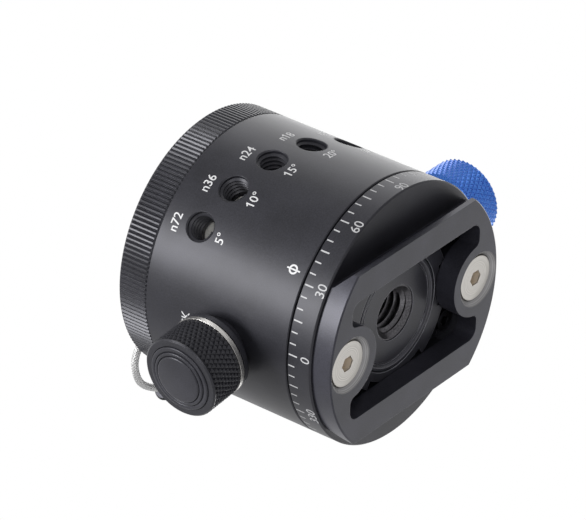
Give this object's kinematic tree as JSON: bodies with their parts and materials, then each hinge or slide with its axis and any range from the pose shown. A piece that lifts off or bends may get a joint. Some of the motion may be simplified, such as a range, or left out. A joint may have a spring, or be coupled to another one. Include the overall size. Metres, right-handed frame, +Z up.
{
  "type": "panoramic tripod head",
  "caption": "Panoramic tripod head: indexing rotator with dovetail foot, graduated dial, knurled flange, radial lock knob, pull-out click plunger and wrist tether.",
  "frame": {"origin": "middle of the foot plate's lower face, on the pan axis", "axes": "+Z up the pan axis to the camera stud, +X through the two foot screws towards the click plunger"},
  "size_m": [0.0865, 0.0635, 0.0645],
  "materials": {
    "black_anodised": "fine satin black anodised",
    "stainless": "turned stainless steel",
    "black_steel": "black oxide",
    "drum_steel": "turned and bright",
    "bearing_steel": "ground and polished",
    "cage_brass": "pressed and plain",
    "bronze_liner": "sintered bronze",
    "washer_plastic": "smooth and waxy",
    "pad_rubber": "fine ribbed",
    "cable_steel": "braided wire with a clear coat",
    "sleeve_black": "moulded, satin",
    "pad_brass": "turned",
    "ring_aluminium": "turned, natural",
    "barrel_nickel": "satin nickel",
    "spring_steel": "drawn wire",
    "blue_anodised": "bright blue anodised",
    "blue_cap": "bright blue anodised, turned face"
  },
  "bodies": {
    "base": {"foot_plate": "black_anodised", "foot_screws": "stainless", "dial_ring": "black_anodised", "base_screws": "black_steel", "spindle": "black_anodised", "socket_bush": "stainless", "hub_ring_nut": "black_steel", "index_drum": "drum_steel", "drum_dowels": "stainless", "thrust_washer": "washer_plastic", "bearing_inner_race": "bearing_steel", "preload_washer": "black_steel", "spindle_nut": "black_steel"},
    "bearing_cage_body": {"bearing_cage": "cage_brass", "bearing_balls": "bearing_steel"},
    "head": {"body_shell": "black_anodised", "top_flange": "black_anodised", "flange_screws": "black_steel", "bearing_outer_race": "bearing_steel", "bearing_circlip": "stainless", "camera_plate": "black_anodised", "plate_screws": "black_steel", "camera_pad": "pad_rubber", "camera_stud": "stainless", "tether_cable": "cable_steel", "tether_sleeve": "sleeve_black", "tether_clamp": "sleeve_black", "tether_screw": "black_steel", "lock_collar": "black_anodised", "index_barrel": "barrel_nickel", "index_bush": "bronze_liner", "index_spring": "spring_steel"},
    "lock_slider": {"lock_pad": "pad_brass"},
    "lock_knob_body": {"lock_knob": "black_anodised", "lock_stud": "stainless", "lock_ring": "ring_aluminium", "lock_cap": "black_anodised"},
    "index_plunger": {"index_pin": "stainless", "index_knob": "blue_anodised", "index_cap": "blue_cap"}
  },
  "joints": [
    {"name": "pan_turn", "type": "hinge", "parent": "base", "child": "head", "pos_m": [0, 0, 0.03], "axis": [0, 0, 1], "continuous": true},
    {"name": "cage_turn", "type": "hinge", "parent": "base", "child": "bearing_cage_body", "pos_m": [0, 0, 0.03], "axis": [0, 0, 1], "continuous": true},
    {"name": "lock_turn", "type": "hinge", "parent": "lock_slider", "child": "lock_knob_body", "pos_m": [-0.02984, 0.00314, 0.0263], "axis": [-0.9945, 0.1045, 0], "range_deg": [-90, 720]},
    {"name": "lock_travel", "type": "slide", "parent": "head", "child": "lock_slider", "axis": [-0.9945, 0.1045, 0], "range_m": [-0.00025, 0.002]},
    {"name": "index_pull", "type": "slide", "parent": "head", "child": "index_plunger", "axis": [1, 0.007, 0], "range_m": [0, 0.003], "stiffness_N_per_m": 500, "springref_m": -0.003, "deforming": ["index_spring"]}
  ],
  "couplings": [
    {"joint": "cage_turn", "follows": "pan_turn", "ratio": 0.57447},
    {"joint": "lock_turn", "follows": "lock_travel", "rad_per_m": 6283.2}
  ]
}
